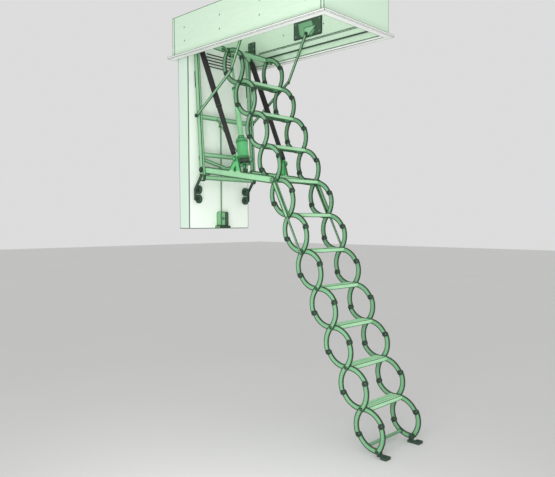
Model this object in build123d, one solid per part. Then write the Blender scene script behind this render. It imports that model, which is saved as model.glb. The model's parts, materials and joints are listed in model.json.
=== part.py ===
from build123d import *
from math import acos, atan2, cos, degrees, hypot, radians, sin
import os

# Electric concertina stair in a ceiling hatch, in millimetres.
# +X runs from the hinge end of the hatch to the outer end, where the stair's feet stand.
# Y runs across the hatch and +Z is up.
# The origin lies on the outer face of the hinge end board of the casing, at its centre.
# Everything is drawn with the hatch open and the stair fully down.

# Hatch casing
hatch_length = 1515          # clear opening, along X
hatch_width = 660            # clear opening, along Y
board = 25                   # casing boards
casing_height = 300
trim_width = 55
trim_thickness = 18
trim_chamfer = 5
trim_relief = 0.5            # step down of the strips' backs beside the boards
mitre_gap = 0.4
seal_depth = 5               # strip on the long boards that the closed door rubs on
seal_height = 56
seal_up = 52                 # from the boards' lower edge
seal_from_shaft = 90
screw_hole = 6               # fixing holes through the long boards
screw_rows = 4
screw_edge = 130             # from the board's end to its first hole
screw_height = 100           # from one row of holes to the other

# Door
door_thickness = 125
door_gap = 5                 # to the boards when it is shut
door_pivot_in = 69           # pivot, in from the door's end and from its outer face
door_side_gap = 6
door_round = 4
door_heel_round = 66         # lets the heel swing past the end board
pivot_pin_r = 8
pivot_plate_r = 28

# Stair geometry
rise = 250
steps = 11                   # rises from the feet to the top pivots
lean = 27                    # of the stair's axis from the vertical, degrees
spread = 194                 # between the outer pivots of one loop
fold_pitch = 61              # between two crossings when it is folded
chain_inset = 125            # from the hatch's side to the middle of a chain
top_pivot_x = 502
top_pivot_below_casing = 15

# Chain links
link_width = 36
link_thickness = 10
link_gap = 2                 # between the two families of one chain
pin_r = 7
pin_play = 0.3
cap_r = 11
cap_height = 4

# Treads
tread_depth = 92
tread_height = 26
tread_wall = 4
tread_round = 6
ridge_count = 6
ridge_width = 4
ridge_height = 2

# Swing frame
stile_depth = 40
stile_width = 22
stile_inset = 65             # from the hatch's side to the inner face of a stile
stile_top_x = 200
stile_bottom_x = 270
shaft_r = 14
shaft_z = -40
crossbar_height = 36
crossbar_depth = 20
crossbar_round = 4
upper_crossbar_z = -635
middle_crossbar_z = -932
stile_bottom_z = -1120
bottom_crossbar_up = 8       # above the stiles' ends
brace_width = 28             # of the crossed bars behind the stiles' feet
brace_thickness = 5
brace_top_z = -955
brace_bottom_z = -1095
carrier_thickness = 10
carrier_inset = 80           # to the inner face of the carriers and of the drive arms
carrier_r = 21
top_tube_r = 14
top_tube_gap = 4
bracket_plate = 6
bracket_round = 10
shaft_plate_length = 86
shaft_plate_height = 130
shaft_plate_up = 40          # of the plate's middle over the shaft

# Drive arms, which lift the stair at its seventh crossing
arm_crossing = 4             # counted from the top
arm_width = 54
arm_thickness = 10
arm_stub = 3                 # pivot stub towards the guide, which it doesn't reach
torsion_r = 13
torsion_pin_r = 12
torsion_cap_wider = 5
lug_along = 366              # lug for the lifting strut, measured along the arm
lug_up = 115
lug_r = 20
lug_foot_back = 55           # of the lug's root on the arm, behind its pin and before it
lug_foot_front = 45
lug_stub = 1                 # towards the strut's eye, which it doesn't reach
motor_bar_along = 195        # cross tube that the actuator pushes on
motor_lug_up = 34
motor_lug_thickness = 6
motor_lug_gap = 3
motor_bar_r = 16

# Lifting struts
strut_top_x = 250
strut_top_z = -105
strut_off_carrier = 1.5      # from the carrier's face to the strut's eye
strut_tube_r = 22
strut_tube_length = 499
strut_rod_r = 19
strut_rod_in_tube = 52
strut_eye_r = 15
strut_lug_r = 20             # of the carrier round the strut's pin
strut_eye_root_r = 12
strut_eye_width = 16
strut_upper_neck = 28        # from the upper pin to the thick tube
strut_lower_neck = 45        # from the lower pin, so that the tube swings past the arm's lug
strut_tube_head = 12

# Actuator, in the middle of the hatch
actuator_top_x = 300
actuator_top_z = -128
actuator_bar_r = 12
actuator_bar_up = 42         # of the cross tube over the actuator's pivot
actuator_eye_r = 13
screw_rod_r = 10
screw_tube_r = 22
motor_r = 45
motor_length = 165
gearbox_height = 42
motor_chamfer = 5
gearbox_smaller = 3          # radius, against the motor's
actuator_neck = 48           # from the lower pivot to the gearbox
actuator_neck_r = 15
actuator_eye_half = 6
screw_tube_length = 420
screw_tube_floor = 12
screw_rod_in_tube = 60
screw_eye_half = 12
hanger_ear_gap = 1
hanger_ear_thickness = 6
hanger_pin_past = 3

# Folding stays
stay_width = 24
stay_thickness = 6
stay_inset = 32              # from the hatch's side to the lower stay's inner face
stay_low_x = 231
stay_low_z = -630
stay_elbow_x = 647
stay_elbow_z = -345
stay_top_x = 835
stay_top_z = 5
stay_plate_length = 290
stay_plate_height = 140
stay_plate_up = 45           # of the plate's middle over the stay's pin

# Guides beside the chains, from the seventh crossing to the fifth
guide_width = 34
guide_wall = 3
guide_web = 2.5
guide_off_chain = 21         # from the middle of the chain to the guide's inner face
guide_past = 15
guide_hub_r = 13
guide_hub_width = 5
guide_cap = 3
guide_play = 1
guide_cut_past = 1           # of the end cuts, past the channel's walls
guide_rod_thickness = 6
guide_rod_width = 16
guide_rod_neck_r = 6
guide_rod_overlap = 32

# Rollers on the door
roller_r = 35
roller_width = 22
roller_off_arm = 22          # from the roller to its arm
roller_pitch = 74
roller_upper_z = -1205
roller_arm_width = 26
roller_arm_up = 22           # of its weld over the stile's foot
roller_chamfer = 3

# Feet
foot_length = 88
foot_heel = 18               # behind the pivot
foot_toe_from = 26           # the wide toe starts here, clear of the links
foot_height = 16
foot_below_pivot = 22
foot_bar_r = 11
foot_cheek = 9
foot_cheek_gap = 2
foot_pad = 26                # width of the sole inside the chain

# Lock on the door
lock_rod_r = 5
lock_rod_stand_off = 14
lock_rod_top_z = -640
lock_width = 78
lock_height = 138
lock_depth = 58
lock_round = 16
lock_foot_width = 112
lock_foot_height = 22
lock_foot_depth = 66
lock_above_edge = 2          # of the lock's foot over the door's edge
lock_clip_width = 20
lock_clip_height = 16

# Worked out from the sizes above
casing_bottom = -casing_height / 2
casing_length = hatch_length + 2 * board
hatch_half = hatch_width / 2
casing_half_width = hatch_half + board
chain_half = hatch_half - chain_inset
stile_y = hatch_half - stile_inset
carrier_y = hatch_half - carrier_inset
stay_y = hatch_half - stay_inset
guide_y = chain_half + guide_off_chain
plate_face = hatch_half - bracket_plate                   # of the brackets on the long boards
axis_down = Vector(sin(radians(lean)), 0, -cos(radians(lean)))
across = Vector(cos(radians(lean)), 0, sin(radians(lean)))
pitch = rise / cos(radians(lean))
half_link = hypot(pitch / 2, spread / 2)
open_angle = degrees(atan2(spread, pitch))
folded_angle = degrees(acos(fold_pitch / 2 / half_link))
fold_range = folded_angle - open_angle
loop_radius = (pitch**2 + spread**2) / (4 * spread)
top_pivot = Vector(top_pivot_x, 0, casing_bottom - top_pivot_below_casing)
inner_face = chain_half - link_gap / 2 - link_thickness   # of the tread family
inner_layer = (inner_face, inner_face + link_thickness)
outer_layer = (inner_layer[1] + link_gap, inner_layer[1] + link_gap + link_thickness)
cap_layer = (outer_layer[1] + pin_play, outer_layer[1] + pin_play + cap_height)
guide_pin_end = guide_y + guide_hub_width + pin_play
guide_rod_start = guide_pin_end + guide_cap + guide_play
guide_rod_y = (guide_rod_start, guide_rod_start + guide_rod_thickness)
guide_back = guide_rod_y[1] + guide_play + guide_web
arm_y = (carrier_y, carrier_y + arm_thickness)
carrier_end = carrier_y + carrier_thickness
strut_y = carrier_end + strut_off_carrier
stile_end = stile_y + stile_width


def crossing(number, step=pitch):
    """The crossing with this number, counted from the top pivots."""
    return top_pivot + axis_down * (number * step)


# Turning joint of the drive arms: as far from crossing 4 when folded as when it is down
arm_open = crossing(arm_crossing)
arm_folded = crossing(arm_crossing, fold_pitch)
arm_middle = (arm_open + arm_folded) / 2


def stile_x(z):
    """Middle of a stile at height z."""
    share = (z - shaft_z) / (stile_bottom_z - shaft_z)
    return stile_top_x + share * (stile_bottom_x - stile_top_x)


stile_slope = (stile_bottom_x - stile_top_x) / (stile_bottom_z - shaft_z)
to_stile = (arm_middle.X - stile_x(arm_middle.Z)) / (across.X - stile_slope * across.Z)
arm_hinge = arm_middle - across * to_stile
arm_length = (arm_open - arm_hinge).length
arm_angle = degrees(atan2(arm_open.Z - arm_hinge.Z, arm_open.X - arm_hinge.X))
arm_angle_folded = degrees(atan2(arm_folded.Z - arm_hinge.Z, arm_folded.X - arm_hinge.X))


def on_arm(along, up, angle=arm_angle):
    """A point of the drive arm, by its distance along the arm and square to it."""
    a = radians(angle)
    return arm_hinge + Vector(along * cos(a) - up * sin(a), 0, along * sin(a) + up * cos(a))


def profile(sketch, near, far):
    """Pull a sketch drawn in X and Z out between two distances across the hatch."""
    low, high = sorted((near, far))
    return extrude(Plane.XZ.offset(-high) * sketch, amount=high - low)


def both_sides(make):
    """Make one piece for each side of the stair, out to +Y and out to -Y."""
    return [make(1), make(-1)]


def disc(centre, radius):
    return Pos(centre.X, centre.Z) * Circle(radius)


def bar_sketch(start, end, width):
    """A flat bar with round ends between two points of the X-Z plane."""
    run = end - start
    turn = degrees(atan2(run.Z, run.X))
    middle = (start + end) / 2
    return Pos(middle.X, middle.Z) * Rot(0, 0, turn) * SlotCenterToCenter(run.length, width)


def round_bar(centre, radius, near, far):
    return profile(disc(centre, radius), near, far)


def pipe_between(start, end, radius, y):
    """A round bar between two points of the X-Z plane, at this distance across."""
    run = end - start
    base = Plane(origin=(start.X, y, start.Z), z_dir=(run.X, 0, run.Z))
    return extrude(base * Circle(radius), amount=run.length)


def save(name, *solids):
    """Write one named piece, or several like ones that don't touch."""
    shape = solids[0] if len(solids) == 1 else Compound(children=list(solids))
    shape.label = name
    export_step(shape, f"parts/{name}.step")


# Chain links: half a loop is one arc from a crossing to an outer pivot,
# where it runs parallel to the stair's axis
def arc_middle(up, right):
    """Middle of a half link, from its crossing: across the axis, and up along it."""
    half = radians(open_angle)
    x = right * (spread / 2 - loop_radius + loop_radius * cos(half))
    return x, up * (pitch / 2 - loop_radius * sin(half))


def half_arc(up, right):
    """Half link from its crossing at the origin; up and right are 1 or -1."""
    end = (right * spread / 2, up * pitch / 2)
    return SlotArc(ThreePointArc((0, 0), arc_middle(up, right), end), link_width)


def link_sketch(family, centre, upper=True, lower=True):
    """S-shaped link; family 1 runs down to the outer side, family -1 to the hinge side."""
    sketch = Sketch()
    if upper:
        sketch += half_arc(1, -family)
    if lower:
        sketch += half_arc(-1, family)
    return Pos(centre.X, centre.Z) * Rot(0, 0, lean) * sketch


def link_ends(family, centre, upper=True, lower=True):
    """The pivots of a link: its crossing and its outer ends."""
    points = [centre]
    if upper:
        points.append(centre - axis_down * (pitch / 2) - across * (family * spread / 2))
    if lower:
        points.append(centre + axis_down * (pitch / 2) + across * (family * spread / 2))
    return points


def pinned_link(side, centre, upper=True, lower=True, pin_end=cap_layer[0], cap=cap_height):
    """Inner link of one chain, with the pins that its outer partner turns on."""
    solid = profile(link_sketch(1, centre, upper, lower), side * inner_layer[0], side * inner_layer[1])
    points = link_ends(1, centre, upper, lower)
    if pin_end is None:
        solid -= round_bar(centre, pin_r + pin_play, side * inner_layer[0], side * inner_layer[1])
    else:
        solid += round_bar(centre, pin_r, side * inner_layer[1], side * pin_end)
        solid += round_bar(centre, cap_r, side * pin_end, side * (pin_end + cap))
    for point in points[1:]:
        solid += round_bar(point, pin_r, side * inner_layer[1], side * cap_layer[0])
        solid += round_bar(point, cap_r, side * cap_layer[0], side * cap_layer[1])
    return solid


def holed_link(side, centre, upper=True, lower=True):
    """Outer link of one chain, bored for the pins of the inner links."""
    sketch = link_sketch(-1, centre, upper, lower)
    for point in link_ends(-1, centre, upper, lower):
        sketch -= disc(point, pin_r + pin_play)
    return profile(sketch, side * outer_layer[0], side * outer_layer[1])


def tread(centre):
    """Ridged tread between the inner links, open below."""
    wide, high, wall = tread_depth, tread_height, tread_wall
    section = fillet(Rectangle(wide, high).vertices().sort_by(Axis.Y)[-2:], tread_round)
    section -= Pos(0, -wall) * Rectangle(wide - 2 * wall, high)
    between = (wide - 2 * tread_round - ridge_width) / (ridge_count - 1)
    for i in range(ridge_count):
        x = -wide / 2 + tread_round + ridge_width / 2 + i * between
        section += Pos(x, high / 2 + ridge_height / 2) * Rectangle(ridge_width, ridge_height)
    return profile(Pos(centre.X, centre.Z) * section, -inner_face, inner_face)


os.makedirs("parts", exist_ok=True)

# Casing boards, with a seal along each long one
end_board = Box(board, 2 * casing_half_width, casing_height)
save(
    "casing_ends",
    Pos(board / 2, 0, 0) * end_board,
    Pos(casing_length - board / 2, 0, 0) * end_board,
)
seal_z = casing_bottom + seal_up + seal_height / 2
seal_start = stile_top_x + seal_from_shaft


def casing_side(side):
    length = hatch_length
    solid = Pos(casing_length / 2, side * (hatch_half + board / 2), 0) * Box(length, board, casing_height)
    seal_length = casing_length - board - seal_start
    seal = Pos(seal_start + seal_length / 2, side * (hatch_half - seal_depth / 2), seal_z)
    solid += seal * Box(seal_length, seal_depth, seal_height)
    spacing = (hatch_length - 2 * screw_edge) / (screw_rows - 1)
    for i in range(screw_rows):
        for up in (-1, 1):
            x = board + screw_edge + i * spacing
            hole = Pos(x, side * (hatch_half + board / 2), up * screw_height / 2)
            solid -= hole * Rot(90, 0, 0) * Cylinder(screw_hole / 2, 2 * board)
    return solid


save("casing_sides", *both_sides(casing_side))

# Trim under the casing: four mitred strips, whose backs step down a little beside the boards
trim_length = hatch_length + 2 * trim_width
trim_across = hatch_width + 2 * trim_width
trim = Box(trim_length, trim_across, trim_thickness)
trim = chamfer(trim.faces().sort_by(Axis.Z)[0].edges(), trim_chamfer)
relief = Box(trim_length, trim_across, 2 * trim_relief)
relief -= Box(casing_length, 2 * casing_half_width, 2 * trim_relief)
trim -= Pos(0, 0, trim_thickness / 2) * relief
trim -= Box(hatch_length, hatch_width, 3 * trim_thickness)
for along in (-1, 1):
    for side in (-1, 1):
        corner = Pos(along * hatch_length / 2, side * hatch_width / 2)
        trim -= corner * Rot(0, 0, along * side * 45) * Box(4 * trim_width, mitre_gap, 3 * trim_thickness)
trim = Pos(casing_length / 2, 0, casing_bottom - trim_thickness / 2) * trim
save("ceiling_trim", *trim.solids())

# Door, hanging open from its pivots in the long boards
door_x = board + door_gap
door_length = hatch_length - 2 * door_gap
door_face = door_x + door_thickness
door_half_width = hatch_half - door_side_gap
door_hinge_x = door_x + door_pivot_in
door_hinge_z = casing_bottom + door_pivot_in
door_top = door_hinge_z + door_pivot_in
door_bottom = door_top - door_length
door_panel = Pos(door_x + door_thickness / 2, 0, (door_top + door_bottom) / 2) * Box(
    door_thickness, 2 * door_half_width, door_length
)
heel = door_panel.edges().filter_by(Axis.Y).sort_by(Axis.Z)[-2:].sort_by(Axis.X)[0]
door_panel = fillet(heel, door_heel_round)
door_panel = fillet(door_panel.edges().filter_by(Axis.Z), door_round)
save("door_panel", door_panel)
door_hinge = Vector(door_hinge_x, 0, door_hinge_z)


def door_pivot(side):
    plate_in = hatch_half - door_side_gap / 2
    solid = round_bar(door_hinge, pivot_plate_r, side * plate_in, side * hatch_half)
    return solid + round_bar(door_hinge, pivot_pin_r, side * door_half_width, side * plate_in)


save("door_pivots", *both_sides(door_pivot))

# Lock on the door's inner face and the rod that works it
lock_base_z = door_bottom + lock_above_edge
lock_body = Pos(door_face + lock_depth / 2, 0, lock_base_z + lock_height / 2) * Box(
    lock_depth, lock_width, lock_height
)
lock_body = fillet(lock_body.edges().filter_by(Axis.X).sort_by(Axis.Z)[-2:], lock_round)
lock_body += Pos(door_face + lock_foot_depth / 2, 0, lock_base_z + lock_foot_height / 2) * Box(
    lock_foot_depth, lock_foot_width, lock_foot_height
)
rod_x = door_face + lock_rod_stand_off
rod_bottom = lock_base_z + lock_height
lock_rod = Pos(rod_x, 0, (rod_bottom + lock_rod_top_z) / 2) * Cylinder(
    lock_rod_r, lock_rod_top_z - rod_bottom
)
for z in (lock_rod_top_z - 2 * lock_clip_height, (rod_bottom + lock_rod_top_z) / 2):
    clip = Pos((door_face + rod_x) / 2, 0, z) * Box(lock_rod_stand_off, lock_clip_width, lock_clip_height)
    lock_rod += clip
save("door_lock", lock_body + lock_rod)

# Swing frame: shaft, stiles, crossbars and the carriers of the stair's top pivots
shaft = Vector(stile_top_x, 0, shaft_z)
stile_foot = Vector(stile_bottom_x, 0, stile_bottom_z)
save("frame_shaft", round_bar(shaft, shaft_r, -plate_face, plate_face))


def frame_stile(side):
    outline = bar_sketch(shaft, stile_foot, stile_depth)
    outline -= disc(shaft, shaft_r + pin_play)
    outline -= disc(arm_hinge, torsion_pin_r + pin_play)
    return profile(outline, side * stile_y, side * stile_end)


save("frame_stiles", *both_sides(frame_stile))


def frame_crossbar(z):
    tilt = degrees(atan2(stile_top_x - stile_bottom_x, shaft_z - stile_bottom_z))
    outline = fillet(Rectangle(crossbar_depth, crossbar_height).vertices(), crossbar_round)
    outline = Pos(stile_x(z), z) * Rot(0, 0, -tilt) * outline
    return profile(outline, -stile_y, stile_y)


def crossed_braces():
    """Two flat bars, crossed and welded, on the stiles' rear faces behind the torsion tube."""
    middle_z = (brace_top_z + brace_bottom_z) / 2
    along = (stile_foot - shaft).normalized()
    rear = Vector(along.Z, 0, -along.X)
    origin = Vector(stile_x(middle_z), 0, middle_z) + rear * (stile_depth / 2)
    span = 2 * stile_end
    drop = brace_top_z - brace_bottom_z
    tilt = degrees(atan2(drop, span))
    bars = Sketch()
    for turn in (-tilt, tilt):
        bars += Rot(0, 0, turn) * Rectangle(2 * span, brace_width)
    bars &= Rectangle(span, drop + brace_width)
    return extrude(Plane(origin=origin, x_dir=(0, 1, 0), z_dir=rear) * bars, amount=brace_thickness)


save(
    "frame_crossbars",
    frame_crossbar(upper_crossbar_z),
    frame_crossbar(middle_crossbar_z),
    frame_crossbar(stile_bottom_z + bottom_crossbar_up),
    crossed_braces(),
)

strut_top = Vector(strut_top_x, 0, strut_top_z)
actuator_top = Vector(actuator_top_x, 0, actuator_top_z)
actuator_bar = Vector(actuator_top_x, 0, actuator_top_z + actuator_bar_up)


def carrier(side):
    """Plate from the shaft to the stair's top pivot, with the lug of the strut."""
    outline = make_hull(
        Sketch([disc(shaft, carrier_r), disc(strut_top, strut_lug_r)]).edges()
    ) + make_hull(Sketch([disc(shaft, carrier_r), disc(top_pivot, carrier_r)]).edges())
    outline -= disc(shaft, shaft_r + pin_play)
    outline -= disc(top_pivot, pin_r + pin_play)
    outline -= disc(actuator_bar, actuator_bar_r + pin_play)
    solid = profile(outline, side * carrier_y, side * carrier_end)
    solid += round_bar(strut_top, pin_r, side * carrier_end, side * (strut_y + strut_eye_width + pin_play))
    cap_at = strut_y + strut_eye_width + pin_play
    solid += round_bar(strut_top, cap_r, side * cap_at, side * (cap_at + cap_height))
    return solid


save("top_carriers", *both_sides(carrier))

top_tube = round_bar(top_pivot, top_tube_r, -(inner_face - top_tube_gap), inner_face - top_tube_gap)
top_tube += round_bar(top_pivot, pin_r, -carrier_end, carrier_end)
for side in (1, -1):
    top_tube += round_bar(top_pivot, cap_r, side * carrier_end, side * (carrier_end + cap_height))

hanger = round_bar(actuator_bar, actuator_bar_r, -carrier_end, carrier_end)
hanger_ear = Sketch([disc(actuator_bar, actuator_bar_r), disc(actuator_top, actuator_eye_r)])
hanger_ear = make_hull(hanger_ear.edges())
ear_y = (screw_eye_half + hanger_ear_gap, screw_eye_half + hanger_ear_gap + hanger_ear_thickness)
for side in (1, -1):
    hanger += profile(hanger_ear, side * ear_y[0], side * ear_y[1])
hanger += round_bar(actuator_top, pin_r, -ear_y[1] - hanger_pin_past, ear_y[1] + hanger_pin_past)
save("carrier_crossbars", top_tube, hanger)


def shaft_bracket(side):
    plate = fillet(Rectangle(shaft_plate_length, shaft_plate_height).vertices(), bracket_round)
    plate = Pos(shaft.X, shaft.Z + shaft_plate_up) * plate
    return profile(plate, side * plate_face, side * hatch_half)


def stay_bracket(side):
    spot = Vector(stay_top_x, 0, stay_top_z)
    plate = fillet(Rectangle(stay_plate_length, stay_plate_height).vertices(), bracket_round)
    plate = Pos(spot.X, spot.Z + stay_plate_up) * plate
    solid = profile(plate, side * plate_face, side * hatch_half)
    pin_start = stay_y + stay_thickness
    solid += round_bar(spot, pin_r, side * pin_start, side * plate_face)
    return solid + round_bar(spot, cap_r, side * (pin_start - cap_height), side * pin_start)


save("side_brackets", *both_sides(shaft_bracket), *both_sides(stay_bracket))

# Folding stays between the stiles and the casing
stay_low = Vector(stay_low_x, 0, stay_low_z)
stay_elbow = Vector(stay_elbow_x, 0, stay_elbow_z)
stay_top = Vector(stay_top_x, 0, stay_top_z)


def stay_lower(side):
    outline = bar_sketch(stay_low, stay_elbow, stay_width)
    solid = profile(outline, side * stay_y, side * (stay_y + stay_thickness))
    solid += round_bar(stay_low, pin_r, side * stile_end, side * stay_y)
    end = stay_y + 2 * stay_thickness + 2 * pin_play
    solid += round_bar(stay_elbow, pin_r, side * (stay_y + stay_thickness), side * end)
    solid += round_bar(stay_low, cap_r, side * (stay_y + stay_thickness), side * end)
    return solid + round_bar(stay_elbow, cap_r, side * end, side * (end + cap_height))


def stay_upper(side):
    outline = bar_sketch(stay_elbow, stay_top, stay_width)
    outline -= disc(stay_elbow, pin_r + pin_play)
    outline -= disc(stay_top, pin_r + pin_play)
    near = stay_y + stay_thickness + pin_play
    return profile(outline, side * near, side * (near + stay_thickness))


save("stay_lower", *both_sides(stay_lower))
save("stay_upper", *both_sides(stay_upper))

# Drive arms on their torsion tube, with the actuator's cross tube and the strut lugs
lug_pin = on_arm(lug_along, lug_up)
motor_bar = on_arm(motor_bar_along, 0)
motor_pin = on_arm(motor_bar_along, motor_lug_up)


def drive_arm(side):
    outline = bar_sketch(arm_hinge, arm_open, arm_width)
    for along in (lug_along - lug_foot_back, lug_along + lug_foot_front):
        outline += make_hull(Sketch([disc(on_arm(along, 0), arm_width / 2), disc(lug_pin, lug_r)]).edges())
    solid = profile(outline, side * arm_y[0], side * arm_y[1])
    solid += round_bar(arm_open, cap_r, side * (arm_y[0] - arm_stub), side * arm_y[0])
    solid += round_bar(arm_open, cap_r, side * arm_y[1], side * (arm_y[1] + cap_height))
    solid += round_bar(lug_pin, cap_r, side * arm_y[1], side * (arm_y[1] + lug_stub))
    cap_at = stile_end + pin_play
    solid += round_bar(arm_hinge, torsion_pin_r, side * arm_y[1], side * cap_at)
    wide_cap = torsion_pin_r + torsion_cap_wider
    return solid + round_bar(arm_hinge, wide_cap, side * cap_at, side * (cap_at + cap_height))


drive_arms = drive_arm(1) + drive_arm(-1)
drive_arms += round_bar(arm_hinge, torsion_r, -arm_y[0], arm_y[0])
drive_arms += round_bar(motor_bar, motor_bar_r, -arm_y[0], arm_y[0])
motor_lug = make_hull(Sketch([disc(motor_bar, motor_bar_r), disc(motor_pin, actuator_eye_r)]).edges())
lug_start = actuator_eye_half + motor_lug_gap
for side in (1, -1):
    drive_arms += profile(motor_lug, side * lug_start, side * (lug_start + motor_lug_thickness))
    cap_at = lug_start + motor_lug_thickness
    drive_arms += round_bar(motor_pin, cap_r, side * cap_at, side * (cap_at + cap_height))
save("drive_arms", drive_arms)

# Lifting struts: the outer tube hangs from the carrier, the inner one stands on the arm's lug
strut_run = (lug_pin - strut_top).normalized()
strut_tube_start = strut_top + strut_run * strut_upper_neck
strut_tube_end = strut_tube_start + strut_run * strut_tube_length
strut_mid_y = strut_y + strut_eye_width / 2
strut_outer = strut_y + strut_eye_width


def strut_eye(side, pin, tube):
    """Flat eye from a pin into the end of a strut's tube."""
    eye = make_hull(Sketch([disc(pin, strut_eye_r), disc(tube, strut_eye_root_r)]).edges())
    return profile(eye, side * strut_y, side * strut_outer)


def strut_tube(side):
    y = side * strut_mid_y
    solid = pipe_between(strut_tube_start, strut_tube_end, strut_tube_r, y)
    bore_start = strut_tube_start + strut_run * strut_tube_head
    solid -= pipe_between(bore_start, strut_tube_end + strut_run, strut_rod_r + pin_play, y)
    solid += strut_eye(side, strut_top, strut_tube_start)
    return solid - round_bar(strut_top, pin_r + pin_play, side * strut_y, side * strut_outer)


def strut_rod(side):
    head = strut_tube_end - strut_run * strut_rod_in_tube
    foot_end = lug_pin - strut_run * strut_lower_neck
    solid = pipe_between(head, foot_end, strut_rod_r, side * strut_mid_y)
    solid += strut_eye(side, lug_pin, foot_end)
    return solid + round_bar(lug_pin, cap_r, side * strut_outer, side * (strut_outer + cap_height))


save("strut_tubes", *both_sides(strut_tube))
save("strut_rods", *both_sides(strut_rod))

# Actuator: gearbox, motor and screw tube stand on the arms, the screw rod hangs above
screw_run = (motor_pin - actuator_top).normalized()
gearbox_end = motor_pin - screw_run * actuator_neck
motor_end = gearbox_end - screw_run * gearbox_height
tube_start = motor_end - screw_run * motor_length
tube_end = tube_start - screw_run * screw_tube_length
gearbox = pipe_between(gearbox_end, motor_end, motor_r - gearbox_smaller, 0)
neck = make_hull(Sketch([disc(motor_pin, actuator_eye_r), disc(gearbox_end, actuator_neck_r)]).edges())
gearbox += profile(neck, -actuator_eye_half, actuator_eye_half)
motor = pipe_between(motor_end, tube_start, motor_r, 0)
motor = chamfer(motor.edges().sort_by(Axis.Z)[-1], motor_chamfer)
save("gear_motor", motor + gearbox)
screw_tube = pipe_between(tube_start, tube_end, screw_tube_r, 0)
bore_start = tube_start - screw_run * screw_tube_floor
screw_tube -= pipe_between(bore_start, tube_end - screw_run, screw_rod_r + pin_play, 0)
save("screw_tube", screw_tube)
screw_rod = pipe_between(tube_end + screw_run * screw_rod_in_tube, actuator_top, screw_rod_r, 0)
screw_rod += round_bar(actuator_top, actuator_eye_r, -screw_eye_half, screw_eye_half)
screw_rod -= round_bar(actuator_top, pin_r + pin_play, -screw_eye_half, screw_eye_half)
save("screw_rod", screw_rod)

# Rollers that carry the swing frame on the door
roller_x = door_face + roller_r + pin_play
roller_upper = Vector(roller_x, 0, roller_upper_z)
roller_lower = Vector(roller_x, 0, roller_upper_z - roller_pitch)
roller_y = (stile_end - roller_off_arm - roller_width, stile_end - roller_off_arm)


def roller_arm(side):
    start_z = stile_bottom_z + roller_arm_up
    start = Vector(stile_x(start_z), 0, start_z)
    outline = bar_sketch(start, roller_upper, roller_arm_width)
    outline += bar_sketch(roller_upper, roller_lower, roller_arm_width)
    solid = profile(outline, side * stile_end, side * (stile_end + bracket_plate))
    pin_start = roller_y[0] - pin_play
    for spot in (roller_upper, roller_lower):
        solid += round_bar(spot, pin_r, side * pin_start, side * stile_end)
        solid += round_bar(spot, cap_r, side * (pin_start - cap_height), side * pin_start)
    return solid


def roller(side, spot):
    ring = disc(spot, roller_r) - disc(spot, pin_r + pin_play)
    wheel = profile(ring, side * roller_y[0], side * roller_y[1])
    return chamfer(wheel.edges().filter_by(GeomType.CIRCLE).sort_by(SortBy.RADIUS)[-2:], roller_chamfer)


save("roller_arms", *both_sides(roller_arm))
save("rollers_upper", *both_sides(lambda side: roller(side, roller_upper)))
save("rollers_lower", *both_sides(lambda side: roller(side, roller_lower)))

# Stair: two families of S-links in each chain, and a tread at each crossing
guide_crossing = arm_crossing
guide_rod_crossing = arm_crossing + 2
save("top_links_inner", *both_sides(lambda s: pinned_link(s, top_pivot, upper=False, pin_end=None)))
save("top_links_outer", *both_sides(lambda s: holed_link(s, top_pivot, upper=False)))
for number in range(1, steps):
    place = crossing(number)
    carries_guide = number in (guide_crossing, guide_rod_crossing)
    pin_end = guide_pin_end if carries_guide else cap_layer[0]
    cap = guide_cap if carries_guide else cap_height
    name = f"{steps - number:02d}"
    save(f"links_inner_{name}", *both_sides(lambda s: pinned_link(s, place, pin_end=pin_end, cap=cap)))
    save(f"links_outer_{name}", *both_sides(lambda s: holed_link(s, place)))
    save(f"tread_{name}", tread(place))

foot_pivot = crossing(steps)
bar_across, bar_up = arc_middle(1, -1)
foot_bar = foot_pivot + across * bar_across - axis_down * bar_up
foot_inner = round_bar(foot_bar, foot_bar_r, -inner_face, inner_face)
for side in (1, -1):
    foot_inner += pinned_link(side, foot_pivot, lower=False, pin_end=None)
save("foot_links_inner", foot_inner)
save("foot_links_outer", *both_sides(lambda s: holed_link(s, foot_pivot, lower=False)))

# Guides: a channel on crossing 4 and a rod on crossing 6 that slides in it
guide_pivot = crossing(guide_crossing)
rod_pivot = crossing(guide_rod_crossing)


def guide_channel(side):
    end = guide_pivot + axis_down * (pitch + guide_past)
    outer = bar_sketch(guide_pivot, end, guide_width)
    inner = bar_sketch(guide_pivot - axis_down * guide_width, end, guide_width - 2 * guide_wall)
    cut = Rot(0, 0, lean) * Rectangle(guide_width + 2 * guide_cut_past, guide_width)
    past_end = end + axis_down * (guide_width / 2)
    past_hub = guide_pivot - axis_down * (guide_hub_r + guide_width / 2)
    reach = Pos(past_end.X, past_end.Z) * cut
    rear = Pos(past_hub.X, past_hub.Z) * cut
    walls = outer - inner - reach - rear
    web = outer - reach - rear
    back = guide_back
    solid = profile(walls, side * guide_y, side * back)
    solid += profile(web, side * (back - guide_web), side * back)
    hub = disc(guide_pivot, guide_width / 2) - disc(guide_pivot, pin_r + pin_play)
    return solid + profile(hub - rear, side * guide_y, side * (guide_y + guide_hub_width))


def guide_rod(side):
    head = guide_pivot + axis_down * (pitch + guide_past - guide_rod_overlap)
    low = rod_pivot + axis_down * (cap_r + guide_play + guide_rod_neck_r)
    solid = profile(bar_sketch(head, low, guide_rod_width), side * guide_rod_y[0], side * guide_rod_y[1])
    hub = make_hull(Sketch([disc(rod_pivot, guide_hub_r), disc(low, guide_rod_neck_r)]).edges())
    hub -= disc(rod_pivot, pin_r + pin_play)
    hub_end = guide_y + guide_hub_width
    solid += profile(hub, side * guide_y, side * hub_end)
    return solid + profile(disc(low, guide_rod_neck_r), side * hub_end, side * guide_rod_y[0])


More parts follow.
